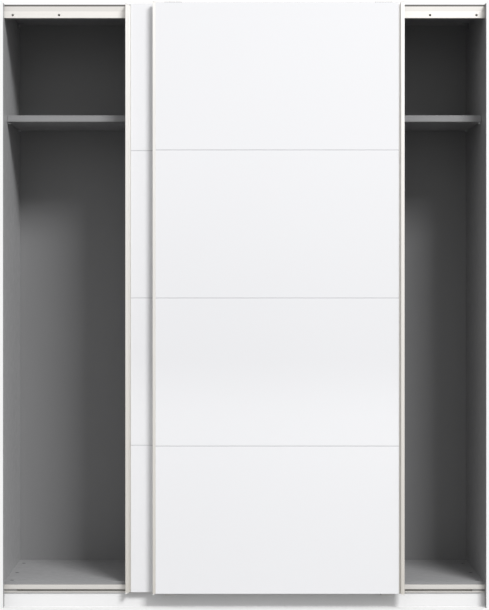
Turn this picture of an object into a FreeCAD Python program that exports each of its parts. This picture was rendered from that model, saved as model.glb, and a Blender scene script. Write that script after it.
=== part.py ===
import FreeCAD, Part
import Sketcher
import os
import re

# Sliding door wardrobe with two glass-fronted doors, in millimetres.
# X runs to the right as the user faces the doors, the doors face -Y, and Z is up.
# The origin is on the floor, in the middle of the wardrobe's width and depth.

SIZES = {
    # Carcass
    "width": 1700,
    "side_depth": 612,
    "front_edge": -289.5,
    "carcass_top": 2090,
    "board": 16,
    "top_board": 8,
    "back_board": 4,
    "back_inset": 13,
    "back_groove": 5,
    "back_play": 0.5,
    "floor_top": 85,
    "plinth_setback": 46,
    "rear_plinth_setback": 560,
    "top_setback": 55.5,
    "rail_setback": 63,
    "shelf_board": 22,
    "shelf_under": 1689,
    "shelf_setback": 133,
    "shelf_depth": 457,
    "shelf_play": 1,
    "joint_strip_width": 40,
    "joint_strip_thickness": 2,
    # Fittings of the carcass
    "dowel_radius": 4,
    "dowel_length": 30,
    "dowel_in_side": 10,
    "cam_radius": 7.5,
    "cam_depth": 12.5,
    "cam_inset": 22.5,
    "cam_bolt_radius": 3,
    "cam_slot": 8,
    "cam_slot_width": 1.4,
    "cam_slot_depth": 1.5,
    "pin_radius": 2.5,
    "pin_length": 16,
    "pin_in_side": 8,
    "pin_out_of_partition": 9,
    "nail_radius": 0.8,
    "nail_head_radius": 2.5,
    "nail_head": 0.8,
    "nail_length": 16,
    "nail_from_middle": 5,
    "corner_leg": 22,
    "corner_depth": 30,
    "corner_sheet": 2.5,
    "wall_leg": 40,
    "wall_rise": 24,
    "wall_width": 14,
    "wall_sheet": 2,
    "wall_hole_radius": 2.75,
    # Running track at the top, measured from the track's front and underside
    "track_front": 42,
    "track_height": 40,
    "track_wall": 1.5,
    "track_floor": 18,
    "ridge_half": 0.8,
    "ridge_rise": 1.5,
    "line_low": 22.6,
    "line_high": 23.6,
    "line_depth": 0.6,
    "track_screw_rise": 10,
    "track_screw_head": 2.6,
    "track_hole": 4,
    # Guide track at the bottom, measured from its front and underside
    "guide_front": 40,
    "guide_bottom": 48,
    "guide_height": 27,
    "guide_depth": 6,
    "guide_channel": 12,
    "guide_wall": 1.5,
    "groove_low": 4,
    "groove_high": 12,
    "stop_reach": 790,
    # Doors: depth is measured back from a door's front face
    "door_width": 866,
    "door_bottom": 52.5,
    "door_top": 2088,
    "door_depth": 20,
    "front_door_left": -317,
    "front_door_face": -21,
    "rear_door_left": -412,
    "rear_door_face": 16,
    "pane_count": 4,
    "pane_setback": 1,
    "pane_thickness": 4,
    "seam": 2.5,
    "seam_setback": 1.6,
    "rim": 12,
    "rim_proud": 12,
    "handle": 18,
    "handle_groove": 5,
    "metal": 1.5,
    "tongue": 6,
    "tongue_front": 13,
    "tongue_back": 15,
    "tongue_play": 0.1,
    "edge_strip": 10,
    "cap_rise": 4.5,
    "cap_foot": 0.4,
    # Running gear of the doors
    "hanger_inset": 70,
    "hanger_half": 30,
    "hanger_sheet": 1.8,
    "hanger_drop": 52,
    "hanger_screw_rise": 8,
    "hanger_screw_pitch": 20,
    "rear_arm_play": 1,
    "front_arm_play": 2.2,
    "front_arm_sheet": 2.3,
    "rear_lane": 48.4,
    "front_lane": 57.2,
    "leg_below_axle": 4,
    "roller_radius": 8,
    "roller_width": 4.8,
    "roller_play": 0.3,
    "roller_edge": 0.6,
    "tread_radius": 6.8,
    "tread_half": 1.1,
    "axle_radius": 2,
    "bore_play": 0.05,
    "axle_play": 0.2,
    "axle_head_radius": 3.5,
    "axle_head": 0.8,
    # Bottom guides of the doors
    "guide_inset": 60,
    "guide_half": 18,
    "guide_block": 3,
    "guide_block_height": 24,
    "guide_block_rise": 1,
    "guide_screw_drop": 6,
    "guide_screw_half": 10,
    "finger_low": 54,
    "finger_high": 58,
    "finger_reach": 48,
    "hook_low": 43.5,
    "hook_sheet": 1.8,
    "hook_tip": 50.5,
    "hook_reach": 44.6,
    "hook_plate_top": 92,
    "hook_screw_drop": 10,
    # Screws
    "screw_radius": 1.75,
    "screw_head_radius": 3.2,
    "screw_head": 2,
    "screw_length": 12,
    "small_head": 1.5,
    "flat_head": 0.9,
    "groove_screw_head": 2.6,
}

# Places worked out from the sizes, written as formulas of the sheet's aliases.
HALF = "width / 2"
INNER = "(width / 2 - board)"
BACK_FACE = "(front_edge + side_depth - back_inset - back_board)"
CEILING = "(carcass_top - top_board)"
FLOOR_UNDER = "(floor_top - board)"
PLINTH_FACE = "(front_edge + plinth_setback)"
REAR_PLINTH_FACE = "(front_edge + rear_plinth_setback)"
RAIL_FACE = "(front_edge + rail_setback)"
TRACK_FACE = "(front_edge + track_front)"
TRACK_UNDER = "(carcass_top - top_board - track_height)"
RIDGE_TOP = f"({TRACK_UNDER} + track_floor + ridge_rise)"
AXLE_HEIGHT = f"({RIDGE_TOP} + roller_play + tread_radius)"
GUIDE_FACE = "(front_edge + guide_front)"
GROOVE_MIDDLE = "(guide_bottom + groove_low / 2 + groove_high / 2)"

CAM_SETBACKS = (80, 263, 505)
FLOOR_DOWEL_SETBACKS = (120, 480)
PIN_SETBACKS = (170, 550)
CORNER_SETBACKS = (90, 504)
NAIL_PITCH = 200
NAIL_SHIFT = 20
NAILS_EACH_SIDE = 4
STRIP_NAILS = 9
TRACK_SCREW_PLACES = (-805, -644, -322, 0, 322, 644, 805)
GUIDE_SCREW_PITCH = 154.6
GUIDE_SCREWS_EACH_SIDE = 5
GUIDE_SCREW_PLACES = [step * GUIDE_SCREW_PITCH
                      for step in range(-GUIDE_SCREWS_EACH_SIDE, GUIDE_SCREWS_EACH_SIDE + 1)]

doc = FreeCAD.newDocument("sliding_door_wardrobe")
sheet = doc.addObject("Spreadsheet::Sheet", "sizes")
for row, (alias, size) in enumerate(SIZES.items(), start=1):
    sheet.set(f"A{row}", alias)
    sheet.set(f"B{row}", str(size))
    sheet.setAlias(f"B{row}", alias)
doc.recompute()

nodes = []


def formula(text):
    """Turn a formula of plain aliases into one that names the sheet."""
    return re.sub(r"[a-z][a-z_]*", lambda alias: "sizes." + alias.group(0), str(text))


def size_of(text):
    """The value of a formula, as a plain number."""
    return float(sheet.evalExpression(formula(text)))


def node(shape, label):
    """Name a finished sub-part, which makes it a file of its own."""
    shape.Label = label
    nodes.append(shape)


def place(shape, x, y, z):
    for axis, where in zip("xyz", (x, y, z)):
        shape.setExpression("Placement.Base." + axis, formula(where))


def box(x, y, z, length, width, height):
    """A block from its lowest corner and its sizes along X, Y and Z."""
    block = doc.addObject("Part::Box", "block")
    block.setExpression("Length", formula(length))
    block.setExpression("Width", formula(width))
    block.setExpression("Height", formula(height))
    place(block, x, y, z)
    return block


TURNS = {
    "x": FreeCAD.Rotation(FreeCAD.Vector(0, 1, 0), 90),
    "y": FreeCAD.Rotation(FreeCAD.Vector(1, 0, 0), -90),
    "z": FreeCAD.Rotation(),
}


def rod(axis, x, y, z, radius, length):
    """A round bar that starts at a point and runs along a positive axis."""
    bar = doc.addObject("Part::Cylinder", "rod")
    bar.setExpression("Radius", formula(radius))
    bar.setExpression("Height", formula(length))
    bar.Placement = FreeCAD.Placement(FreeCAD.Vector(), TURNS[axis])
    place(bar, x, y, z)
    return bar


def group(parts):
    bundle = doc.addObject("Part::Compound", "group")
    bundle.Links = parts
    return bundle


def join(parts):
    whole = doc.addObject("Part::MultiFuse", "join")
    whole.Shapes = parts
    whole.Refine = True
    return whole


def cut(base, tools):
    rest = doc.addObject("Part::Cut", "cut")
    rest.Base = base
    rest.Tool = group(tools)
    return rest


def add_loop(sketch, points):
    """Draw one closed loop of straight edges, with every corner fixed by formulas."""
    first = sketch.GeometryCount
    corners = [FreeCAD.Vector(size_of(across), size_of(up), 0) for across, up in points]
    for start, end in zip(corners, corners[1:] + corners[:1]):
        sketch.addGeometry(Part.LineSegment(start, end), False)
    for index, (across, up) in enumerate(points):
        edge = first + index
        after = first + (index + 1) % len(points)
        sketch.addConstraint(Sketcher.Constraint("Coincident", edge, 2, after, 1))
        fix_corner(sketch, edge, "DistanceX", -2, across)
        fix_corner(sketch, edge, "DistanceY", -1, up)


def fix_corner(sketch, edge, kind, axis, where):
    """Hold an edge's start point on a sketch axis, or at a distance from the origin."""
    value = size_of(where)
    if abs(value) < 1e-9:
        sketch.addConstraint(Sketcher.Constraint("PointOnObject", edge, 1, axis))
        return
    number = sketch.addConstraint(Sketcher.Constraint(kind, -1, 1, edge, 1, value))
    sketch.setExpression(f"Constraints[{number}]", formula(where))


def body_with_sketch(plane, loops):
    body = doc.addObject("PartDesign::Body", "body")
    sketch = body.newObject("Sketcher::SketchObject", "section")
    support = [item for item in body.Origin.OriginFeatures if item.Role == plane][0]
    sketch.AttachmentSupport = [(support, "")]
    sketch.MapMode = "FlatFace"
    for loop in loops:
        add_loop(sketch, loop)
    return body, sketch


def extrusion(plane, loops, length, x, y, z):
    """A profile of one section, as long as the formula says."""
    body, sketch = body_with_sketch(plane, loops)
    pad = body.newObject("PartDesign::Pad", "pad")
    pad.Profile = sketch
    pad.setExpression("Length", formula(length))
    place(body, x, y, z)
    return body


def turned(points, x, y, z):
    """A round piece whose axis is parallel to Y, from its section beside the axis."""
    body, sketch = body_with_sketch("YZ_Plane", [points])
    spin = body.newObject("PartDesign::Revolution", "spin")
    spin.Profile = sketch
    spin.ReferenceAxis = (sketch, ["H_Axis"])
    spin.Angle = 360
    place(body, x, y, z)
    return body


def rectangle(left, right, low, high):
    return [(left, low), (right, low), (right, high), (left, high)]


def screw(x, face, z, into, head_radius="screw_head_radius", head="screw_head"):
    """A screw along Y with its head on a face: into is 1 towards +Y or -1 towards -Y."""
    if into > 0:
        head_start, shank_start = f"{face} - {head}", face
    else:
        head_start, shank_start = face, f"{face} - screw_length"
    cap = rod("y", x, head_start, z, head_radius, head)
    shank = rod("y", x, shank_start, z, "screw_radius", "screw_length")
    return join([cap, shank])


# ---------------------------------------------------------------- carcass fittings

def end_rods(radius, length, in_side, y, z):
    """A rod at each end of the wardrobe, partly inside each side panel."""
    left = rod("x", f"-{INNER} - {in_side}", y, z, radius, length)
    right = rod("x", f"{INNER} + {in_side} - {length}", y, z, radius, length)
    return [left, right]


def make_dowels():
    middle = f"{FLOOR_UNDER} + board / 2"
    places = [(f"front_edge + {setback}", middle) for setback in FLOOR_DOWEL_SETBACKS]
    places.append((f"{RAIL_FACE} + board / 2", f"{CEILING} - track_height / 4"))
    places.append((f"{RAIL_FACE} + board / 2", f"{CEILING} - track_height * 3 / 4"))
    places.append((f"{PLINTH_FACE} + board / 2", "guide_bottom / 2"))
    places.append((f"{REAR_PLINTH_FACE} + board / 2", f"{FLOOR_UNDER} / 2"))
    dowels = []
    for y, z in places:
        dowels += end_rods("dowel_radius", "dowel_length", "dowel_in_side", y, z)
    for setback in FLOOR_DOWEL_SETBACKS:
        foot = "floor_top - dowel_in_side"
        dowels.append(rod("z", 0, f"front_edge + {setback}", foot, "dowel_radius", "dowel_length"))
    return dowels


def make_cams():
    """Round cam fittings let into the floor, with a cross recess for the screwdriver."""
    cams = []
    pockets = []
    for sign in ("-", ""):
        for setback in CAM_SETBACKS:
            x = f"{sign}({INNER} - cam_inset)"
            y = f"front_edge + {setback}"
            barrel = rod("z", x, y, "floor_top - cam_depth", "cam_radius", "cam_depth")
            low = "floor_top - cam_slot_depth"
            deep = "cam_slot_depth * 2"
            along = box(f"{x} - cam_slot / 2", f"{y} - cam_slot_width / 2", low,
                        "cam_slot", "cam_slot_width", deep)
            across = box(f"{x} - cam_slot_width / 2", f"{y} - cam_slot / 2", low,
                         "cam_slot_width", "cam_slot", deep)
            cams.append(cut(barrel, [along, across]))
            pockets.append(barrel)
    return cams, pockets


def make_cam_bolts():
    length = "(dowel_in_side + cam_inset - cam_radius)"
    bolts = []
    for setback in CAM_SETBACKS:
        y = f"front_edge + {setback}"
        z = f"{FLOOR_UNDER} + board / 2"
        bolts += end_rods("cam_bolt_radius", length, "dowel_in_side", y, z)
    return bolts


def make_pins():
    """Shelf pins: two in each side panel and two in each face of the partition."""
    pins = []
    z = "shelf_under - pin_radius"
    for setback in PIN_SETBACKS:
        y = f"front_edge + {setback}"
        pins += end_rods("pin_radius", "pin_length", "pin_in_side", y, z)
        for x in ("-board / 2 - pin_out_of_partition", "board / 2 + pin_out_of_partition - pin_length"):
            pins.append(rod("x", x, y, z, "pin_radius", "pin_length"))
    return pins


def nail(x, face, z):
    shank = rod("y", x, f"{face} - nail_length", z, "nail_radius", "nail_length")
    head = rod("y", x, face, z, "nail_head_radius", "nail_head")
    return join([shank, head])


def make_nails():
    """Nails through the back panels into the top, the floor and the partition."""
    back = f"{BACK_FACE} + back_board"
    nails = []
    for step in range(1, NAILS_EACH_SIDE + 1):
        for side in (-1, 1):
            x = side * (step * NAIL_PITCH - NAIL_SHIFT)
            nails.append(nail(x, back, "carcass_top - top_board / 2"))
            nails.append(nail(x, back, "floor_top - board / 2"))
    strip_back = f"{back} + joint_strip_thickness"
    for step in range(1, STRIP_NAILS + 1):
        for side in ("-nail_from_middle", "nail_from_middle"):
            nails.append(nail(side, strip_back, f"floor_top + {step * NAIL_PITCH}"))
    return nails


def make_corner_brackets():
    """Small plastic angles that hold the top panel to the side panels and the partition."""
    brackets = []
    for wall, turn in ((f"-{INNER}", 1), (INNER, -1), ("board / 2", 1), ("-board / 2", -1)):
        for setback in CORNER_SETBACKS:
            start = wall if turn > 0 else f"{wall} - corner_leg"
            upright = wall if turn > 0 else f"{wall} - corner_sheet"
            y = f"front_edge + {setback}"
            leaf = box(start, y, f"{CEILING} - corner_sheet", "corner_leg", "corner_depth", "corner_sheet")
            wing = box(upright, y, f"{CEILING} - corner_leg", "corner_sheet", "corner_depth", "corner_leg")
            brackets.append(join([leaf, wing]))
    return brackets


def make_wall_brackets():
    """Steel angles on top of the side panels, drilled for a screw into the wall."""
    back = "front_edge + side_depth"
    brackets = []
    screws = []
    for sign in ("-", ""):
        middle = f"{sign}({HALF} - board / 2)"
        left = f"{middle} - wall_width / 2"
        foot = box(left, f"{back} - wall_leg", "carcass_top", "wall_width", "wall_leg", "wall_sheet")
        rise = box(left, f"{back} - wall_sheet", "carcass_top", "wall_width", "wall_sheet", "wall_rise")
        hole_height = "carcass_top + wall_sheet + wall_rise / 2"
        hole = rod("y", middle, f"{back} - wall_leg", hole_height, "wall_hole_radius", "wall_leg * 2")
        shank = rod("z", middle, f"{back} - wall_leg / 2", "carcass_top + wall_sheet - screw_length",
                    "screw_radius", "screw_length")
        head = rod("z", middle, f"{back} - wall_leg / 2", "carcass_top + wall_sheet",
                   "screw_head_radius", "screw_head")
        fixing = join([shank, head])
        brackets.append(cut(join([foot, rise]), [hole, fixing]))
        screws.append(fixing)
    return brackets, screws


dowels = make_dowels()
cams, cam_pockets = make_cams()
cam_bolts = make_cam_bolts()
pins = make_pins()
nails = make_nails()
wall_brackets, wall_screws = make_wall_brackets()
track_screw_height = f"{TRACK_UNDER} + track_screw_rise"
track_screws = [screw(x, f"({RAIL_FACE} - track_wall)", track_screw_height, 1, "track_screw_head")
                for x in TRACK_SCREW_PLACES]
guide_screw_face = f"({GUIDE_FACE} + guide_channel - guide_wall)"
guide_screws = [screw(x, guide_screw_face, GROOVE_MIDDLE, 1, "groove_screw_head", "small_head")
                for x in GUIDE_SCREW_PLACES]

node(group(dowels), "wood_dowels")
node(group(cams), "cam_fittings")
node(group(cam_bolts), "cam_bolts")
node(group(pins), "shelf_pins")
node(group(nails), "back_panel_nails")
node(group(make_corner_brackets()), "corner_brackets")
node(group(wall_brackets), "wall_brackets")
node(group(wall_screws), "wall_bracket_screws")
node(group(track_screws), "running_track_screws")
node(group(guide_screws), "guide_track_screws")

# ---------------------------------------------------------------- carcass boards

def make_side(left):
    """A side panel, drilled on its inner face, with a groove for the back panel."""
    panel = box(left, "front_edge", 0, "board", "side_depth", "carcass_top")
    groove = box(f"-{INNER} - back_groove", BACK_FACE, "floor_top - board - back_groove",
                 f"{INNER} * 2 + back_groove * 2", "back_board", "carcass_top")
    return cut(panel, [groove] + dowels + cam_bolts + pins + wall_screws)


node(make_side(f"-{HALF}"), "side_panel_left")
node(make_side(INNER), "side_panel_right")

inner_width = f"{INNER} * 2"
top_blank = box(f"-{INNER}", "front_edge + top_setback", CEILING, inner_width,
                f"{BACK_FACE} - front_edge - top_setback", "top_board")
node(cut(top_blank, nails), "top_panel")

floor_blank = box(f"-{INNER}", PLINTH_FACE, FLOOR_UNDER, inner_width,
                  f"{BACK_FACE} - {PLINTH_FACE}", "board")
node(cut(floor_blank, dowels + cam_pockets + cam_bolts + nails), "bottom_panel")

rail_blank = box(f"-{INNER}", RAIL_FACE, TRACK_UNDER, inner_width, "board", "track_height")
node(cut(rail_blank, dowels + track_screws), "top_front_rail")

partition_front = f"({RAIL_FACE} + board)"
partition_blank = box("-board / 2", partition_front, "floor_top", "board",
                      f"{BACK_FACE} - {partition_front}", f"{CEILING} - floor_top")
node(cut(partition_blank, dowels + pins + nails), "centre_partition")


def make_back(left):
    height = f"carcass_top - {FLOOR_UNDER} - back_play"
    panel = box(left, BACK_FACE, FLOOR_UNDER, f"{INNER} + back_groove - back_play * 2", "back_board", height)
    return cut(panel, nails)


node(make_back(f"-{INNER} - back_groove + back_play"), "back_panel_left")
node(make_back("back_play"), "back_panel_right")

strip_blank = box("-joint_strip_width / 2", f"{BACK_FACE} + back_board", FLOOR_UNDER, "joint_strip_width",
                  "joint_strip_thickness", f"carcass_top - {FLOOR_UNDER} - back_play")
node(cut(strip_blank, nails), "back_joint_strip")


def make_shelf(left):
    length = f"{INNER} - board / 2 - shelf_play * 2"
    return box(left, "front_edge + shelf_setback", "shelf_under", length, "shelf_depth", "shelf_board")


node(make_shelf(f"-{INNER} + shelf_play"), "shelf_left")
node(make_shelf("board / 2 + shelf_play"), "shelf_right")

plinth_blank = box(f"-{INNER}", PLINTH_FACE, 0, inner_width, "board", FLOOR_UNDER)
channel_seat = box(f"-{INNER}", PLINTH_FACE, "guide_bottom + groove_low - guide_wall", inner_width,
                   "guide_channel - guide_depth", "groove_high - groove_low + guide_wall * 2")
node(cut(plinth_blank, dowels + guide_screws + [channel_seat]), "plinth_front")

rear_plinth_blank = box(f"-{INNER}", REAR_PLINTH_FACE, 0, inner_width, "board", FLOOR_UNDER)
node(cut(rear_plinth_blank, dowels), "plinth_rear")

# ---------------------------------------------------------------- tracks

# Running track: a flat front over a hollow box, and an open channel on top of the box,
# where two ridges carry the rollers of the two doors in lanes one behind the other.
track_depth = "(rail_setback - track_front)"
rear_ridge = "(rear_lane - track_front)"
front_ridge = "(front_lane - track_front)"
running_section = [
    (0, 0),
    (track_depth, 0),
    (track_depth, "track_height"),
    (f"{track_depth} - track_wall", "track_height"),
    (f"{track_depth} - track_wall", "track_floor"),
    (f"{front_ridge} + ridge_half", "track_floor"),
    (f"{front_ridge} + ridge_half", "track_floor + ridge_rise"),
    (f"{front_ridge} - ridge_half", "track_floor + ridge_rise"),
    (f"{front_ridge} - ridge_half", "track_floor"),
    (f"{rear_ridge} + ridge_half", "track_floor"),
    (f"{rear_ridge} + ridge_half", "track_floor + ridge_rise"),
    (f"{rear_ridge} - ridge_half", "track_floor + ridge_rise"),
    (f"{rear_ridge} - ridge_half", "track_floor"),
    ("track_wall", "track_floor"),
    ("track_wall", "track_height"),
    (0, "track_height"),
    (0, "line_high"),
    ("line_depth", "line_high"),
    ("line_depth", "line_low"),
    (0, "line_low"),
]
track_chamber = rectangle("track_wall", f"{track_depth} - track_wall",
                          "track_wall", "track_floor - track_wall")
running_bar = extrusion("YZ_Plane", [running_section, track_chamber], inner_width, f"-{INNER}",
                        TRACK_FACE, TRACK_UNDER)
screw_holes = [rod("y", x, f"{TRACK_FACE} - track_wall", track_screw_height, "track_hole", "track_wall * 3")
               for x in TRACK_SCREW_PLACES]
node(cut(running_bar, track_screws + screw_holes), "running_track")

# Guide track: a folded strip with a face, a deep groove let into the plinth, and a lip
# that hangs clear of the plinth, so that a hook can run behind it.
guide_section = [
    (0, "guide_height"),
    (0, "groove_high"),
    ("guide_channel - guide_wall", "groove_high"),
    ("guide_channel - guide_wall", "groove_low"),
    (0, "groove_low"),
    (0, 0),
    ("guide_wall", 0),
    ("guide_wall", "groove_low - guide_wall"),
    ("guide_channel", "groove_low - guide_wall"),
    ("guide_channel", "groove_high + guide_wall"),
    ("guide_wall", "groove_high + guide_wall"),
    ("guide_wall", "guide_height - guide_wall"),
    ("guide_depth", "guide_height - guide_wall"),
    ("guide_depth", "guide_height"),
]
guide_bar = extrusion("YZ_Plane", [guide_section], inner_width, f"-{INNER}", GUIDE_FACE, "guide_bottom")
node(cut(guide_bar, guide_screws), "guide_track")


def make_end_stops():
    """Blocks that fill both lanes of the guide track where the doors have to stop."""
    length = f"{INNER} - stop_reach"
    stops = []
    for left in (f"-{INNER}", "stop_reach"):
        stops.append(box(left, f"{GUIDE_FACE} + guide_wall", "guide_bottom + groove_low", length,
                         "guide_channel - guide_wall * 2", "groove_high - groove_low"))
        stops.append(box(left, f"{GUIDE_FACE} + guide_wall", "guide_bottom", length,
                         "guide_depth - guide_wall", "groove_low - guide_wall"))
    return stops


node(group(make_end_stops()), "guide_end_stops")

# ---------------------------------------------------------------- doors


class Door:
    """The places on one door. The handle is on its outer edge: the right or the left."""

    def __init__(self, name, handle_right):
        self.name = name
        self.handle_right = handle_right
        self.left = f"{name}_door_left"
        self.right = f"({self.left} + door_width)"
        self.face = f"(front_edge + {name}_door_face)"
        self.back = f"(front_edge + {name}_door_face + door_depth)"
        self.lane = f"(front_edge + {name}_lane)"
        self.leg_back = f"({self.lane} - roller_width / 2 - roller_play)"

    def span(self, from_handle, from_plain):
        """Left end and length of a piece, from its distances to the door's two ends."""
        start = from_plain if self.handle_right else from_handle
        return f"{self.left} + {start}", f"door_width - {from_handle} - {from_plain}"

    def end_piece(self, plane, sections, reach, at_handle, y, z, length):
        """A profile at one end: its sections run inward from the door's end."""
        on_right = self.handle_right == at_handle
        if on_right:
            sections = [[(f"{reach} - ({inward})", other) for inward, other in loop] for loop in sections]
        x = f"{self.right} - ({reach})" if on_right else self.left
        return extrusion(plane, sections, length, x, y, z)

    def stations(self, inset):
        return {"left": f"({self.left} + {inset})", "right": f"({self.right} - {inset})"}


def make_handle(door, low, high):
    """Hollow profile whose rim stands proud of the panes as a grip, with a tongue behind."""
    outline = [
        (0, "-rim_proud"),
        ("rim", "-rim_proud"),
        ("rim", "handle_groove"),
        ("handle", "handle_groove"),
        ("handle", "tongue_front"),
        ("handle + tongue", "tongue_front"),
        ("handle + tongue", "tongue_back"),
        ("handle", "tongue_back"),
        ("handle", "door_depth"),
        (0, "door_depth"),
    ]
    chamber = rectangle("metal", "rim - metal", "metal - rim_proud", "door_depth - metal")
    return door.end_piece("XY_Plane", [outline, chamber], "handle + tongue", True, door.face, low,
                          f"{high} - {low}")


def make_edge_profile(door, low, high):
    """Angle strip that covers the plain edge of the board and the ends of the panes."""
    lip = "pane_setback + pane_thickness"
    outline = [(0, 0), ("edge_strip", 0), ("edge_strip", lip), ("metal", lip),
               ("metal", "door_depth"), (0, "door_depth")]
    return door.end_piece("XY_Plane", [outline], "edge_strip", False, door.face, low, f"{high} - {low}")


def make_cap(door, at_handle, base, up):
    """End cap of a profile. Its height falls from the outer edge towards the pane."""
    reach = "rim" if at_handle else "edge_strip"
    depth = "door_depth + rim_proud" if at_handle else "door_depth"
    heights = ("cap_rise", "cap_foot") if up else ("-cap_rise", "-cap_foot")
    outline = [(0, 0), (reach, 0), (reach, heights[1]), ("metal", heights[0]), (0, heights[0])]
    # The XZ plane's normal is -Y, so the pad runs forward from the back of the door.
    return door.end_piece("XZ_Plane", [outline], reach, at_handle, door.back, base, depth)


def make_hanger(door, x):
    """Sheet steel hanger: a plate on the door's back, an arm over the track and a leg."""
    left = f"{x} - hanger_half"
    width = "hanger_half * 2"
    low = "(door_top - hanger_drop)"
    if door.name == "rear":
        arm_low, arm_sheet = f"({CEILING} + rear_arm_play)", "hanger_sheet"
    else:
        arm_low, arm_sheet = "(door_top + front_arm_play)", "front_arm_sheet"
    arm_top = f"({arm_low} + {arm_sheet})"
    leg_low = f"({AXLE_HEIGHT} - leg_below_axle)"
    plate = box(left, door.back, low, width, "hanger_sheet", f"{arm_top} - {low}")
    arm = box(left, door.back, arm_low, width, f"{door.leg_back} - {door.back}", arm_sheet)
    leg = box(left, f"{door.leg_back} - hanger_sheet", leg_low,
              width, "hanger_sheet", f"{arm_top} - {leg_low}")
    return join([plate, arm, leg])


def make_axle(door, x):
    """Axle from the hanger's leg through the roller, with a thin head at its end."""
    end = f"({door.lane} + roller_width / 2 + axle_play)"
    pin = rod("y", x, door.leg_back, AXLE_HEIGHT, "axle_radius", f"{end} - {door.leg_back}")
    head = rod("y", x, end, AXLE_HEIGHT, "axle_head_radius", "axle_head")
    return join([pin, head])


def make_roller(door, x):
    """Roller with a groove around it, which sits over the ridge of its lane."""
    bore = "axle_radius + bore_play"
    middle = "roller_width / 2"
    section = [
        (0, bore),
        ("roller_width", bore),
        ("roller_width", "roller_radius - roller_edge"),
        ("roller_width - roller_edge", "roller_radius"),
        (f"{middle} + tread_half", "roller_radius"),
        (f"{middle} + tread_half", "tread_radius"),
        (f"{middle} - tread_half", "tread_radius"),
        (f"{middle} - tread_half", "roller_radius"),
        ("roller_edge", "roller_radius"),
        (0, "roller_radius - roller_edge"),
    ]
    return turned(section, x, f"{door.lane} - {middle}", AXLE_HEIGHT)


def make_rear_guide(door, x):
    """Plastic guide whose finger runs in the groove of the guide track."""
    left = f"{x} - guide_half"
    block = box(left, door.back, "door_bottom + guide_block_rise", "guide_half * 2", "guide_block",
                "guide_block_height")
    finger = box(left, door.back, "finger_low", "guide_half * 2",
                 f"front_edge + finger_reach - {door.back}", "finger_high - finger_low")
    return join([block, finger])


def make_front_guide(door, x):
    """Steel hook that passes under the rear door and up behind the guide track's lip."""
    left = f"{x} - guide_half"
    width = "guide_half * 2"
    plate = box(left, door.back, "hook_low", width, "hook_sheet", "hook_plate_top - hook_low")
    foot = box(left, door.back, "hook_low", width, f"front_edge + hook_reach - {door.back}", "hook_sheet")
    tip = box(left, "front_edge + hook_reach - hook_sheet", "hook_low", width, "hook_sheet",
              "hook_tip - hook_low")
    return join([plate, foot, tip])


def make_guides_and_screws(door):
    guides = []
    screws = []
    for x in door.stations("guide_inset").values():
        if door.name == "rear":
            guides.append(make_rear_guide(door, x))
            face = f"({door.back} + guide_block)"
            height = "door_bottom + guide_block_height - guide_screw_drop"
        else:
            guides.append(make_front_guide(door, x))
            face = f"({door.back} + hook_sheet)"
            height = "hook_plate_top - hook_screw_drop"
        for shift in ("- guide_screw_half", "+ guide_screw_half"):
            screws.append(screw(f"{x} {shift}", face, height, -1, head="flat_head"))
    return guides, screws


def build_door(door):
    name = door.name
    guides, guide_screws_here = make_guides_and_screws(door)
    hangers = {}
    axles = []
    hanger_screws = []
    plate_face = f"({door.back} + hanger_sheet)"
    screw_height = "door_top - hanger_drop + hanger_screw_rise"
    for side, x in door.stations("hanger_inset").items():
        axles.append(make_axle(door, x))
        screws_here = [screw(f"{x} + {step} * hanger_screw_pitch", plate_face, screw_height, -1,
                             head="small_head")
                       for step in (-1, 0, 1)]
        hangers[side] = cut(make_hanger(door, x), screws_here)
        hanger_screws += screws_here
        node(make_roller(door, x), f"{name}_roller_{side}")
    all_screws = hanger_screws + guide_screws_here
    for side, hanger in hangers.items():
        node(hanger, f"{name}_hanger_{side}")
    node(group(axles), f"{name}_axles")
    node(group(all_screws), f"{name}_door_screws")
    node(cut(group(guides), guide_screws_here), f"{name}_bottom_guides")

    board_left, board_length = door.span("handle", "metal")
    board_front = f"{door.face} + pane_setback + pane_thickness"
    board_depth = "door_depth - pane_setback - pane_thickness"
    blank = box(board_left, board_front, "door_bottom", board_length, board_depth, "door_top - door_bottom")
    slot_left, slot_length = door.span("handle", "(door_width - handle - tongue - 1)")
    slot = box(slot_left, f"{door.face} + tongue_front - tongue_play", 0, slot_length,
               "tongue_back - tongue_front + tongue_play * 2", "carcass_top + cap_rise")
    node(cut(blank, [slot] + all_screws), f"{name}_core_board")

    pane_left, pane_length = door.span("handle", "edge_strip")
    pane_height = "((door_top - door_bottom - seam * (pane_count - 1)) / pane_count)"
    seams = []
    for index in range(SIZES["pane_count"]):
        low = f"door_bottom + {index} * ({pane_height} + seam)"
        pane = box(pane_left, f"{door.face} + pane_setback", low, pane_length, "pane_thickness", pane_height)
        node(pane, f"{name}_glass_pane_{index + 1}")
        if index > 0:
            seams.append(box(pane_left, f"{door.face} + seam_setback", f"{low} - seam", pane_length,
                             "pane_setback + pane_thickness - seam_setback", "seam"))
    node(group(seams), f"{name}_seam_strips")

    # The rear door's handle profile ends lower, because the front door's arms pass over it.
    handle_top = "door_top" if name == "front" else "(door_top - cap_rise + cap_foot)"
    node(make_handle(door, "door_bottom", handle_top), f"{name}_handle_profile")
    node(make_edge_profile(door, "door_bottom", "door_top"), f"{name}_edge_profile")
    caps = [
        make_cap(door, True, "door_bottom", False),
        make_cap(door, True, handle_top, True),
        make_cap(door, False, "door_bottom", False),
    ]
    if name == "front":
        caps.append(make_cap(door, False, "door_top", True))
    node(group(caps), f"{name}_end_caps")


build_door(Door("rear", False))
build_door(Door("front", True))

# ---------------------------------------------------------------- checks and files

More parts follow.
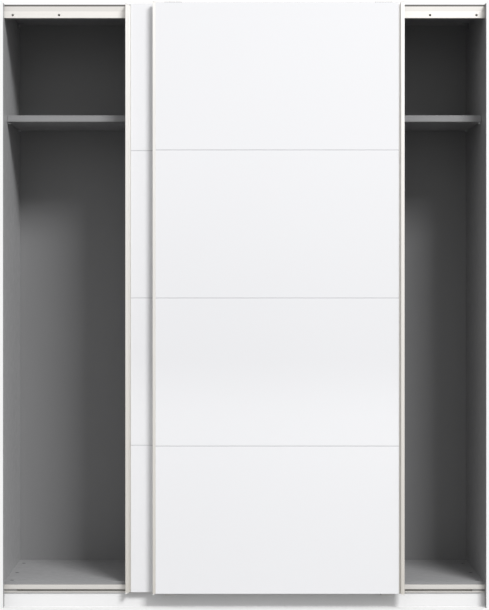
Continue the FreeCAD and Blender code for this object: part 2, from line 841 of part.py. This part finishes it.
doc.recompute()
for item in doc.Objects:
    if "Invalid" in item.State or "Error" in item.State:
        raise RuntimeError(f"{item.Label} failed: {item.State}")
for part in nodes:
    if part.Shape.isNull() or not part.Shape.isValid() or not part.Shape.Solids:
        raise RuntimeError(f"{part.Label} has no valid solid")

os.makedirs("parts", exist_ok=True)
for part in nodes:
    part.Shape.exportStep(f"parts/{part.Label}.step")
print(len(nodes), "parts written")
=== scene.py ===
import math

import bmesh
import bpy
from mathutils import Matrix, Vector


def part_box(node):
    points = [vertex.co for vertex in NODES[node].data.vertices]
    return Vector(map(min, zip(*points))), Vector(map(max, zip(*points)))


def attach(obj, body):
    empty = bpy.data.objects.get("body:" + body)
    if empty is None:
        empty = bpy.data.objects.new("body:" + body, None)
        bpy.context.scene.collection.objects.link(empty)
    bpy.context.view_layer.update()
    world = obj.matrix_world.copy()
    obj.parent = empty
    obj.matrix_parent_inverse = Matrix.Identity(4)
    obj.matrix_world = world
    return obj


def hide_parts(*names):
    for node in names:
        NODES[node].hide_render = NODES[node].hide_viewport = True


# Looks of a sliding door wardrobe: white glass doors, white outer boards, graphite inside,
# satin champagne tracks and profiles. Lengths are in metres, in the frame of the CAD model.

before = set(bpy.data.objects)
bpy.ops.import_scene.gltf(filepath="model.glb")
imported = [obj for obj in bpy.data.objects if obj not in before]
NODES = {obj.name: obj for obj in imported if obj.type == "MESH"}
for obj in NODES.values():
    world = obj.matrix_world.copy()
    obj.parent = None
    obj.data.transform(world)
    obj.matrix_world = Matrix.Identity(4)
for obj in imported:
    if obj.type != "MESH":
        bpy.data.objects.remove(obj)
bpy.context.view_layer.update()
scene = bpy.context.scene

MM = 0.001
DOORS = ("rear", "front")

# ---------------------------------------------------------------- camera, light and stage

side_low, side_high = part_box("side_panel_left")
FRONT_PLANE = side_low.y
CARCASS_TOP = side_high.z

CAMERA_DISTANCE = 7.075
CAMERA_X = -0.072
CAMERA_HEIGHT = 1.1395
LENS_MM = 121.0
SENSOR_MM = 36.0
SHIFT_X = 0.0339
SHIFT_Y = -0.0443
CAMERA_REACH = 60.0

KEY_TRAVEL = Vector((-0.468, 1.0, -0.80)).normalized()
KEY_DISTANCE = 14.0
KEY_WIDTH = 4.4
KEY_HEIGHT = 3.3
KEY_WATTS = 1500.0
# Strength of the sky by the height of its direction, from -1 straight down to 1 straight up.
SKY_STRENGTHS = ((-0.10, 0.30), (0.06, 0.84), (0.50, 0.92), (1.0, 1.0))
# Behind the doors the sky is weaker. It gains its full strength as Y goes through this range.
SKY_BEHIND = 0.5
SKY_GAIN_FROM = 0.3
SKY_GAIN_TO = -1.0
STAGE_SIZE = 40.0
FLOOR_TONE = 0.82
FLOOR_ROUGHNESS = 0.9
FLOOR_GLOW = 0.10


def add_camera():
    data = bpy.data.cameras.new("camera")
    data.lens = LENS_MM
    data.sensor_width = SENSOR_MM
    data.sensor_fit = "AUTO"
    data.shift_x = SHIFT_X
    data.shift_y = SHIFT_Y
    data.clip_end = CAMERA_REACH
    camera = bpy.data.objects.new("camera", data)
    camera.location = (CAMERA_X, FRONT_PLANE - CAMERA_DISTANCE, CAMERA_HEIGHT)
    camera.rotation_euler = (math.radians(90), 0, 0)
    scene.collection.objects.link(camera)
    scene.camera = camera


def add_key_light():
    """One large soft box from the upper right, in front of the doors."""
    data = bpy.data.lights.new("key", "AREA")
    data.shape = "RECTANGLE"
    data.size = KEY_WIDTH
    data.size_y = KEY_HEIGHT
    data.energy = KEY_WATTS
    light = bpy.data.objects.new("key", data)
    target = Vector((0, FRONT_PLANE, CARCASS_TOP / 2))
    light.location = target - KEY_TRAVEL * KEY_DISTANCE
    light.rotation_euler = KEY_TRAVEL.to_track_quat("-Z", "Y").to_euler()
    scene.collection.objects.link(light)


def add_world():
    """Plain white surroundings: they light the object more from above and from in front."""
    world = bpy.data.worlds.new("studio")
    world.use_nodes = True
    nodes = world.node_tree.nodes
    links = world.node_tree.links
    nodes.clear()
    path = nodes.new("ShaderNodeLightPath")
    fill = nodes.new("ShaderNodeBackground")
    direction = nodes.new("ShaderNodeTexCoord")
    split = nodes.new("ShaderNodeSeparateXYZ")
    links.new(direction.outputs["Generated"], split.inputs["Vector"])
    strength = nodes.new("ShaderNodeFloatCurve")
    height = nodes.new("ShaderNodeMapRange")
    height.inputs["From Min"].default_value = -1.0
    links.new(split.outputs["Z"], height.inputs["Value"])
    links.new(height.outputs["Result"], strength.inputs["Value"])
    points = strength.mapping.curves[0].points
    levels = ((-1.0, SKY_STRENGTHS[0][1]), *SKY_STRENGTHS)
    while len(points) < len(levels):
        points.new(0.5, 0.5)
    for point, (rise, level) in zip(points, levels):
        point.location = ((rise + 1) / 2, level)
        point.handle_type = "VECTOR"
    strength.mapping.update()
    forward = nodes.new("ShaderNodeMapRange")
    forward.inputs["From Min"].default_value = SKY_GAIN_FROM
    forward.inputs["From Max"].default_value = SKY_GAIN_TO
    forward.inputs["To Min"].default_value = SKY_BEHIND
    links.new(split.outputs["Y"], forward.inputs["Value"])
    total = nodes.new("ShaderNodeMath")
    total.operation = "MULTIPLY"
    links.new(strength.outputs["Value"], total.inputs[0])
    links.new(forward.outputs["Result"], total.inputs[1])
    links.new(total.outputs["Value"], fill.inputs["Strength"])
    white = nodes.new("ShaderNodeBackground")
    white.inputs["Color"].default_value = (1, 1, 1, 1)
    fill.inputs["Color"].default_value = (1, 1, 1, 1)
    mix = nodes.new("ShaderNodeMixShader")
    output = nodes.new("ShaderNodeOutputWorld")
    links.new(path.outputs["Is Camera Ray"], mix.inputs["Fac"])
    links.new(fill.outputs[0], mix.inputs[1])
    links.new(white.outputs[0], mix.inputs[2])
    links.new(mix.outputs[0], output.inputs["Surface"])
    scene.world = world


def add_floor():
    half = STAGE_SIZE / 2
    corners = [(-half, -half, 0), (half, -half, 0), (half, half, 0), (-half, half, 0)]
    mesh = bpy.data.meshes.new("floor")
    mesh.from_pydata(corners, [], [(0, 1, 2, 3)])
    floor = bpy.data.objects.new("floor", mesh)
    scene.collection.objects.link(floor)
    material = bpy.data.materials.new("pale_floor")
    material.use_nodes = True
    shader = material.node_tree.nodes["Principled BSDF"]
    shader.inputs["Base Color"].default_value = (FLOOR_TONE, FLOOR_TONE, FLOOR_TONE, 1)
    shader.inputs["Roughness"].default_value = FLOOR_ROUGHNESS
    shader.inputs["Emission Color"].default_value = (1, 1, 1, 1)
    shader.inputs["Emission Strength"].default_value = FLOOR_GLOW
    mesh.materials.append(material)
    floor.visible_diffuse = False


# ---------------------------------------------------------------- material tools

# Nearly all values of a noise texture lie between these.
NOISE_LOW = 0.25
NOISE_HIGH = 0.75


class Material:
    """A node material with a Principled shader and a few short helpers."""

    def __init__(self, name, color, roughness, metallic=0.0):
        self.material = bpy.data.materials.new(name)
        self.material.use_nodes = True
        self.nodes = self.material.node_tree.nodes
        self.links = self.material.node_tree.links
        self.shader = self.nodes["Principled BSDF"]
        self.set("Base Color", (*color, 1))
        self.set("Roughness", roughness)
        self.set("Metallic", metallic)
        self.place = self.nodes.new("ShaderNodeTexCoord").outputs["Object"]

    def set(self, socket, value):
        self.shader.inputs[socket].default_value = value

    def stretch(self, scale):
        """The object's own coordinates, scaled by axis."""
        mapping = self.nodes.new("ShaderNodeMapping")
        mapping.inputs["Scale"].default_value = scale
        self.links.new(self.place, mapping.inputs["Vector"])
        return mapping.outputs["Vector"]

    def noise(self, scale, detail=3.0, stretch=(1, 1, 1)):
        texture = self.nodes.new("ShaderNodeTexNoise")
        texture.inputs["Scale"].default_value = scale
        texture.inputs["Detail"].default_value = detail
        self.links.new(self.stretch(stretch), texture.inputs["Vector"])
        return texture.outputs["Fac"]

    def spread(self, value, low, high):
        """Map a noise value to a range."""
        ramp = self.nodes.new("ShaderNodeMapRange")
        ramp.inputs["From Min"].default_value = NOISE_LOW
        ramp.inputs["From Max"].default_value = NOISE_HIGH
        ramp.inputs["To Min"].default_value = low
        ramp.inputs["To Max"].default_value = high
        self.links.new(value, ramp.inputs["Value"])
        return ramp.outputs["Result"]

    def math(self, kind, first, second):
        """Combine two values, each a plain number or another node's output."""
        node = self.nodes.new("ShaderNodeMath")
        node.operation = kind
        for socket, value in zip(node.inputs, (first, second)):
            if isinstance(value, (int, float)):
                socket.default_value = value
            else:
                self.links.new(value, socket)
        return node.outputs["Value"]

    def axis(self, name):
        """One of the object's own coordinates."""
        split = self.nodes.new("ShaderNodeSeparateXYZ")
        self.links.new(self.place, split.inputs["Vector"])
        return split.outputs[name]

    def mix(self, factor, first, second):
        """Blend two colours, each a plain colour or another node's output."""
        node = self.nodes.new("ShaderNodeMix")
        node.data_type = "RGBA"
        if isinstance(factor, (int, float)):
            node.inputs["Factor"].default_value = factor
        else:
            self.links.new(factor, node.inputs["Factor"])
        for socket, value in ((node.inputs[6], first), (node.inputs[7], second)):
            if isinstance(value, tuple):
                socket.default_value = (*value, 1)
            else:
                self.links.new(value, socket)
        return node.outputs[2]

    def link(self, value, socket):
        self.links.new(value, self.shader.inputs[socket])

    def bump(self, height, strength, distance):
        node = self.nodes.new("ShaderNodeBump")
        node.inputs["Strength"].default_value = strength
        node.inputs["Distance"].default_value = distance
        self.links.new(height, node.inputs["Height"])
        self.link(node.outputs["Normal"], "Normal")


def tinted(color, amount):
    """The colour made lighter, or darker where the amount is negative."""
    return tuple(min(1.0, channel * (1 + amount)) for channel in color)


# ---------------------------------------------------------------- colours and materials

WHITE = (0.885, 0.885, 0.888)
GRAPHITE = (0.298, 0.298, 0.303)
EDGE_BAND = (0.150, 0.143, 0.135)
RAW_FIBRE = (0.36, 0.26, 0.17)
GLASS_WHITE = (0.812, 0.814, 0.832)
BEECH = (0.62, 0.43, 0.26)
CHAMPAGNE = (0.80, 0.775, 0.74)
UPRIGHT = (0.83, 0.815, 0.79)
UPRIGHT_PAINTED_REFLECTION_LOW = (0.60, 0.575, 0.53)
SEAM_GREY = (0.52, 0.52, 0.54)
GROOVE_PAINTED_SHADE = (0.36, 0.35, 0.33)
ZINC = (0.60, 0.61, 0.62)
DOOR_SCREW_ZINC = (0.62, 0.60, 0.55)
GROOVE_SCREW_STEEL = (0.30, 0.29, 0.27)
JOINT_STRIP_GREY = (0.20, 0.20, 0.205)
END_STOP_PAINTED_SHADE = (0.25, 0.245, 0.235)
BRACKET_GREY = (0.30, 0.30, 0.31)
CAM_DARK = (0.07, 0.07, 0.073)
SCREW_BLACK = (0.035, 0.035, 0.037)
RECESS_PAINTED_SHADE = (0.03, 0.03, 0.03)
PALE_PLASTIC = (0.74, 0.73, 0.71)
NYLON = (0.80, 0.80, 0.77)

# How deep in from a face a two-coloured board changes its colour.
FACE_MARGIN = 0.15 * MM
EDGE_BAND_DEPTH = 0.7 * MM
BACK_PANEL_SKIN = 0.6 * MM
# The running track's upper band is darkened with painted shade, laid on in fine stripes, from this part
# of its height.
SHADED_BAND_FROM = 0.58
# Scale, base level and contrast of the stripes in the painted shade.
SHADE_STRIPE_SCALE = 220.0
SHADE_STRIPE_BASE = 0.5
SHADE_STRIPE_CONTRAST = 0.4
# The guide track's groove, behind its front face and below this height, is painted dark as shade.
GROOVE_SETBACK = 1.6 * MM
GROOVE_RISE = 12.2 * MM


def board_color(material, base):
    """Melamine with a very faint cloud in its tone."""
    cloud = material.spread(material.noise(scale=3.0, detail=4.0), low=0.0, high=1.0)
    return material.mix(cloud, tinted(base, -0.02), tinted(base, 0.02))


def finish_board(material):
    """Fine pearl texture of a melamine face, with uneven gloss."""
    pearl = material.noise(scale=700.0, detail=2.0)
    material.bump(pearl, strength=0.05, distance=0.1 * MM)
    material.link(material.spread(material.noise(scale=40.0), low=0.34, high=0.46), "Roughness")
    material.set("Specular IOR Level", 0.42)
    material.set("Diffuse Roughness", 0.7)
    return material.material


def white_board():
    material = Material("white_melamine", WHITE, 0.4)
    material.link(board_color(material, WHITE), "Base Color")
    return finish_board(material)


def graphite_board():
    material = Material("graphite_melamine", GRAPHITE, 0.4)
    material.link(board_color(material, GRAPHITE), "Base Color")
    return finish_board(material)


def two_tone_board(name, inner_x, right_side):
    """Side panel: white outside and on its edges, graphite on its inner face."""
    material = Material(name, WHITE, 0.4)
    kind = "LESS_THAN" if right_side else "GREATER_THAN"
    margin = FACE_MARGIN if right_side else -FACE_MARGIN
    inside = material.math(kind, material.axis("X"), inner_x + margin)
    behind_edge = material.math("GREATER_THAN", material.axis("Y"), FRONT_PLANE + EDGE_BAND_DEPTH)
    mask = material.math("MULTIPLY", inside, behind_edge)
    color = material.mix(mask, board_color(material, WHITE), board_color(material, GRAPHITE))
    material.link(color, "Base Color")
    return finish_board(material)


def edged_board(front_y):
    """Graphite board with a darker, warmer band on its front edge."""
    material = Material("edged_graphite", GRAPHITE, 0.4)
    edge = material.math("LESS_THAN", material.axis("Y"), front_y + EDGE_BAND_DEPTH)
    material.link(material.mix(edge, board_color(material, GRAPHITE), EDGE_BAND), "Base Color")
    return finish_board(material)


def back_board(face_y):
    """Thin back panel: graphite inside, raw brown fibreboard behind."""
    material = Material("back_panel_board", GRAPHITE, 0.4)
    fibres = material.noise(scale=260.0, detail=6.0, stretch=(1, 1, 0.35))
    fibres = material.spread(fibres, low=0.0, high=1.0)
    raw = material.mix(fibres, tinted(RAW_FIBRE, -0.18), tinted(RAW_FIBRE, 0.15))
    behind = material.math("GREATER_THAN", material.axis("Y"), face_y + BACK_PANEL_SKIN)
    material.link(material.mix(behind, board_color(material, GRAPHITE), raw), "Base Color")
    return finish_board(material)


def white_glass():
    """Back-painted glass: deep gloss over an even white."""
    material = Material("white_glass", GLASS_WHITE, 0.05)
    cloud = material.spread(material.noise(scale=1.3, detail=2.0), low=0.0, high=1.0)
    tone = material.mix(cloud, tinted(GLASS_WHITE, -0.008), tinted(GLASS_WHITE, 0.006))
    material.link(tone, "Base Color")
    material.link(material.spread(material.noise(scale=6.0), low=0.03, high=0.07), "Roughness")
    material.set("IOR", 1.5)
    material.set("Coat Weight", 0.6)
    material.set("Coat Roughness", 0.02)
    material.bump(material.noise(scale=2.2, detail=1.0), strength=0.02, distance=2 * MM)
    return material.material


def satin_metal(name, color, along, metallic=0.35):
    """Anodised extrusion, finely brushed along one axis."""
    material = Material(name, color, 0.42, metallic)
    stretch = tuple(0.6 if axis == along else 260.0 for axis in "xyz")
    lines = material.noise(scale=4.0, detail=4.0, stretch=stretch)
    tone = material.spread(lines, low=0.0, high=1.0)
    material.brushed = material.mix(tone, tinted(color, -0.025), tinted(color, 0.025))
    material.link(material.brushed, "Base Color")
    material.link(material.spread(lines, low=0.36, high=0.48), "Roughness")
    material.bump(lines, strength=0.02, distance=0.1 * MM)
    return material


def upright_metal_painted_reflection():
    """Door profiles: painted reflection, pale at the top and a warmer, deeper champagne towards the
    floor.
    """
    material = satin_metal("profile_metal_painted_reflection", UPRIGHT, "z", metallic=0.6)
    # Painted reflection: the colour deepens from the carcass top down to the floor.
    reflection_fall = material.nodes.new("ShaderNodeMapRange")
    reflection_fall.inputs["From Min"].default_value = CARCASS_TOP
    reflection_fall.inputs["From Max"].default_value = 0.0
    material.links.new(material.axis("Z"), reflection_fall.inputs["Value"])
    material.link(material.mix(reflection_fall.outputs["Result"], material.brushed, UPRIGHT_PAINTED_REFLECTION_LOW), "Base Color")
    return material.material


def running_track_metal_painted_shade():
    """Track profile: its upper band is a little darker with painted shade, laid on in fine painted
    stripes.
    """
    low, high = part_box("running_track")
    shaded_band_low = low.z + (high.z - low.z) * SHADED_BAND_FROM
    material = satin_metal("running_track_metal_painted_shade", CHAMPAGNE, "x")
    # Painted shade on the upper band, in fine stripes.
    shade_stripes = material.nodes.new("ShaderNodeTexWave")
    shade_stripes.bands_direction = "Z"
    shade_stripes.inputs["Scale"].default_value = SHADE_STRIPE_SCALE
    material.links.new(material.place, shade_stripes.inputs["Vector"])
    above = material.math("GREATER_THAN", material.axis("Z"), shaded_band_low)
    contrast = material.math("MULTIPLY", shade_stripes.outputs["Fac"], SHADE_STRIPE_CONTRAST)
    shade = material.math("MULTIPLY", above, material.math("ADD", contrast, SHADE_STRIPE_BASE))
    material.link(material.mix(shade, material.brushed, tinted(CHAMPAGNE, -0.20)), "Base Color")
    return material.material


def guide_track_metal():
    """Guide profile: a little darker than the other profiles, with painted shade in its groove."""
    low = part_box("guide_track")[0]
    color = tinted(CHAMPAGNE, -0.17)
    material = satin_metal("guide_track_metal", color, "x")
    inside = material.math("GREATER_THAN", material.axis("Y"), low.y + GROOVE_SETBACK)
    below = material.math("LESS_THAN", material.axis("Z"), low.z + GROOVE_RISE)
    groove_shade = material.math("MULTIPLY", inside, below)
    # Painted shade in the groove.
    material.link(material.mix(groove_shade, material.brushed, GROOVE_PAINTED_SHADE), "Base Color")
    return material.material


def steel(name, color, roughness):
    """Zinc-plated or blackened steel with a fine spangle."""
    material = Material(name, color, roughness, 0.9)
    spangle = material.noise(scale=420.0)
    tone = material.spread(spangle, low=0, high=1)
    material.link(material.mix(tone, tinted(color, -0.12), tinted(color, 0.1)), "Base Color")
    gloss = material.spread(spangle, low=roughness - 0.08, high=roughness + 0.1)
    material.link(gloss, "Roughness")
    material.bump(spangle, strength=0.05, distance=0.1 * MM)
    return material.material


def plastic(name, color, roughness):
    """Moulded plastic with a faint spark-eroded grain."""
    material = Material(name, color, roughness)
    grain = material.noise(scale=1400.0, detail=2.0)
    gloss = material.spread(material.noise(scale=60.0), low=roughness - 0.05, high=roughness + 0.08)
    material.link(gloss, "Roughness")
    tone = material.spread(grain, low=0, high=1)
    material.link(material.mix(tone, tinted(color, -0.04), tinted(color, 0.03)), "Base Color")
    material.bump(grain, strength=0.12, distance=0.1 * MM)
    return material.material


def beech():
    """Plain beech, with its grain along the dowels."""
    material = Material("beech", BEECH, 0.6)
    grain = material.noise(scale=60.0, detail=6.0, stretch=(1, 12, 12))
    tone = material.spread(grain, low=0, high=1)
    material.link(material.mix(tone, tinted(BEECH, -0.25), tinted(BEECH, 0.15)), "Base Color")
    material.bump(grain, strength=0.2, distance=0.2 * MM)
    return material.material


# ---------------------------------------------------------------- finishing the CAD nodes

WELD_GAP = 0.01 * MM
BEVEL_SEGMENTS = 2
BEVEL_ANGLE = math.radians(40)


def soften(node, width):
    """Join the mesh along its sharp edges and round those edges."""
    weld = node.modifiers.new("weld", "WELD")
    weld.merge_threshold = WELD_GAP
    bevel = node.modifiers.new("bevel", "BEVEL")
    bevel.width = width
    bevel.segments = BEVEL_SEGMENTS
    bevel.limit_method = "ANGLE"
    bevel.angle_limit = BEVEL_ANGLE
    bevel.use_clamp_overlap = True


def paint(names, material, bevel=None):
    """Give nodes their material, and rounded edges where a bevel width is given."""
    for name in names:
        node = NODES[name]
        node.data.materials.clear()
        node.data.materials.append(material)
        if bevel:
            soften(node, bevel)


def finish_carcass():
    left_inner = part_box("side_panel_left")[1].x
    right_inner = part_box("side_panel_right")[0].x
    paint(["side_panel_left"], two_tone_board("left_side_board", left_inner, False), bevel=0.6 * MM)
    paint(["side_panel_right"], two_tone_board("right_side_board", right_inner, True), bevel=0.6 * MM)
    paint(["plinth_front"], white_board(), bevel=0.5 * MM)
    graphite = graphite_board()
    boards = ["bottom_panel", "centre_partition", "shelf_left", "shelf_right", "top_front_rail",
              "plinth_rear"]
    paint(boards, graphite, bevel=0.5 * MM)
    paint(["top_panel"], edged_board(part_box("top_panel")[0].y), bevel=0.5 * MM)
    back_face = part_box("back_panel_left")[0].y
    paint(["back_panel_left", "back_panel_right"], back_board(back_face))
    paint(["back_joint_strip"], plastic("graphite_plastic", JOINT_STRIP_GREY, 0.45), bevel=0.3 * MM)
    # The end stops are real parts; their dark grey is painted shade, matching the groove's painted
    # shade.
    paint(["guide_end_stops"], plastic("stop_plastic_painted_shade", END_STOP_PAINTED_SHADE, 0.5), bevel=0.3 * MM)
    paint(["corner_brackets"], plastic("grey_plastic", BRACKET_GREY, 0.4), bevel=0.4 * MM)
    paint(["running_track"], running_track_metal_painted_shade(), bevel=0.2 * MM)
    paint(["guide_track"], guide_track_metal(), bevel=0.2 * MM)
    zinc = steel("zinc_plate", ZINC, 0.32)
    paint(["cam_bolts", "shelf_pins", "wall_bracket_screws", "back_panel_nails"], zinc)
    paint(["wall_brackets"], zinc, bevel=0.3 * MM)
    paint(["cam_fittings"], plastic("cam_dark", CAM_DARK, 0.5))
    paint(["guide_track_screws"], steel("groove_screw_steel", GROOVE_SCREW_STEEL, 0.5))
    paint(["wood_dowels"], beech())


def finish_door(name, materials):
    panes = [f"{name}_glass_pane_{number}" for number in (1, 2, 3, 4)]
    paint(panes, materials["glass"], bevel=0.5 * MM)
    paint([f"{name}_core_board"], materials["white"], bevel=0.3 * MM)
    paint([f"{name}_handle_profile", f"{name}_edge_profile"], materials["upright"], bevel=0.4 * MM)
    paint([f"{name}_seam_strips"], materials["seam"])
    paint([f"{name}_end_caps"], materials["caps"], bevel=0.3 * MM)
    paint([f"{name}_hanger_left", f"{name}_hanger_right"], materials["zinc"], bevel=0.3 * MM)
    paint([f"{name}_axles", f"{name}_door_screws"], materials["zinc"])
    paint([f"{name}_bottom_guides"], materials["caps"], bevel=0.3 * MM)
    paint([f"{name}_roller_left", f"{name}_roller_right"], materials["nylon"], bevel=0.15 * MM)


def finish_doors():
    materials = {
        "glass": white_glass(),
        "white": white_board(),
        "upright": upright_metal_painted_reflection(),
        "seam": satin_metal("seam_metal", SEAM_GREY, "x").material,
        "caps": plastic("pale_plastic", PALE_PLASTIC, 0.35),
        "zinc": steel("hanger_zinc", ZINC, 0.3),
        "nylon": plastic("nylon", NYLON, 0.3),
    }
    for name in DOORS:
        finish_door(name, materials)


# ---------------------------------------------------------------- detailed pieces

CREASE_ANGLE = math.radians(35)
# A screw head's dome, as parts of its radius and of its height.
HEAD_DOME = ((0, 0), (0.55, 0.10), (0.88, 0.38), (1, 0.75), (1, 1))
SCREW_STEPS = 24
SHANK_RADIUS = 1.75 * MM
TIP_PART = 0.7
TIP_LENGTH = 1.6 * MM
THREAD_START = 0.6 * MM
THREAD_PITCH = 1.1 * MM
THREAD_CREST = 0.5 * MM
THREAD_END = 0.75 * MM
THREAD_ROOT_PART = 0.72
THREAD_CLEAR = 2.2 * MM
# The cross on a head, as parts of the head's radius and height.
CROSS_ARM = 0.5
CROSS_HALF_WIDTH = 0.11
CROSS_FOOT = 0.12
CROSS_RISE = 0.10
TRACK_SCREW_HEAD = 2.0 * MM
DOOR_SCREW_HEAD = 0.9 * MM


def new_piece(name, shape, material, body):
    """Turn a bmesh into an object that rides on a body."""
    mesh = bpy.data.meshes.new(name)
    bmesh.ops.recalc_face_normals(shape, faces=shape.faces)
    shape.to_mesh(mesh)
    shape.free()
    for face in mesh.polygons:
        face.use_smooth = True
    piece = bpy.data.objects.new(name, mesh)
    piece.data.materials.append(material)
    scene.collection.objects.link(piece)
    edges = piece.modifiers.new("edges", "EDGE_SPLIT")
    edges.split_angle = CREASE_ANGLE
    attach(piece, body)
    return piece


def solids_of(name):
    """The separate solids of a node, each as its lowest and highest corner."""
    shape = bmesh.new()
    shape.from_mesh(NODES[name].data)
    bmesh.ops.remove_doubles(shape, verts=shape.verts, dist=WELD_GAP)
    waiting = set(shape.verts)
    boxes = []
    while waiting:
        island = [waiting.pop()]
        for vert in island:
            for edge in vert.link_edges:
                other = edge.other_vert(vert)
                if other in waiting:
                    waiting.remove(other)
                    island.append(other)
        low = Vector([min(vert.co[axis] for vert in island) for axis in range(3)])
        high = Vector([max(vert.co[axis] for vert in island) for axis in range(3)])
        boxes.append((low, high))
    shape.free()
    return sorted(boxes, key=lambda corners: tuple(corners[0]))


def ring(shape, middle, radius, along, count):
    """A circle of points around an axis along Y, moved along it."""
    turns = [2 * math.pi * step / count for step in range(count)]
    return [shape.verts.new(middle + Vector((radius * math.cos(turn), along, radius * math.sin(turn))))
            for turn in turns]


def lathe(shape, middle, section, count):
    """Turn a section of (radius, distance along Y) pairs around an axis parallel to Y."""
    rings = []
    for radius, along in section:
        if radius == 0:
            rings.append([shape.verts.new(middle + Vector((0, along, 0)))])
        else:
            rings.append(ring(shape, middle, radius, along, count))
    for first, second in zip(rings, rings[1:]):
        for step in range(count):
            after = (step + 1) % count
            corners = [first[step % len(first)], first[after % len(first)],
                       second[after % len(second)], second[step % len(second)]]
            unique = list(dict.fromkeys(corners))
            if len(unique) > 2:
                shape.faces.new(unique)


def add_cross(shape, middle, radius, face, rise):
    """A flat plug in the shape of a cross, whose black face is painted shade standing for a screw
    head's recess.
    """
    arm = radius * CROSS_ARM
    half = radius * CROSS_HALF_WIDTH
    outline = [(arm, -half), (arm, half), (half, half), (half, arm), (-half, arm), (-half, half),
               (-arm, half), (-arm, -half), (-half, -half), (-half, -arm), (half, -arm), (half, -half)]
    front = [shape.verts.new(middle + Vector((x, face, z))) for x, z in outline]
    back = [shape.verts.new(middle + Vector((x, face + rise, z))) for x, z in outline]
    shape.faces.new(front)
    shape.faces.new(back)
    for index in range(len(outline)):
        after = (index + 1) % len(outline)
        shape.faces.new([front[index], front[after], back[after], back[index]])


def screw_section(face, end, radius, inward, head):
    """Half of a screw's outline: domed head, threaded shank and blunt tip."""
    section = [(radius * wide, face + inward * head * deep) for wide, deep in HEAD_DOME]
    section.append((SHANK_RADIUS, face + inward * head))
    root = SHANK_RADIUS * THREAD_ROOT_PART
    place = face + inward * (head + THREAD_START)
    while (end - place) * inward > THREAD_CLEAR:
        section += [(root, place), (SHANK_RADIUS, place + inward * THREAD_CREST),
                    (root, place + inward * THREAD_END)]
        place += inward * THREAD_PITCH
    return section + [(SHANK_RADIUS * TIP_PART, end - inward * TIP_LENGTH), (0, end)]


def detailed_screws(node_name, body, facing, head, material, recess):
    """Detailed screws in place of a node's plain ones. Their heads face -Y or +Y: facing is -1 or 1."""
    screws = bmesh.new()
    crosses = bmesh.new()
    for low, high in solids_of(node_name):
        middle = (low + high) / 2
        radius = (high.z - low.z) / 2
        face, end = (low.y, high.y) if facing < 0 else (high.y, low.y)
        axis_point = Vector((middle.x, 0, middle.z))
        lathe(screws, axis_point, screw_section(face, end, radius, -facing, head), SCREW_STEPS)
        add_cross(crosses, axis_point, radius, face - facing * head * CROSS_FOOT,
                  facing * head * CROSS_RISE)
    piece = new_piece(node_name + "_detailed", screws, material, body)
    new_piece(node_name + "_recess", crosses, recess, body)
    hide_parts(node_name)


def add_details():
    blackened = plastic("blackened_screw", SCREW_BLACK, 0.5)
    zinc = steel("screw_zinc", DOOR_SCREW_ZINC, 0.34)
    recess = steel("recess_shadow", RECESS_PAINTED_SHADE, 0.7)
    detailed_screws("running_track_screws", "carcass", -1, TRACK_SCREW_HEAD, blackened, recess)
    for name in DOORS:
        detailed_screws(f"{name}_door_screws", f"{name}_door", 1, DOOR_SCREW_HEAD, zinc, recess)


# ---------------------------------------------------------------- the scene

add_camera()
add_key_light()
add_world()
add_floor()
finish_carcass()
finish_doors()
add_details()
scene.view_settings.view_transform = "Standard"
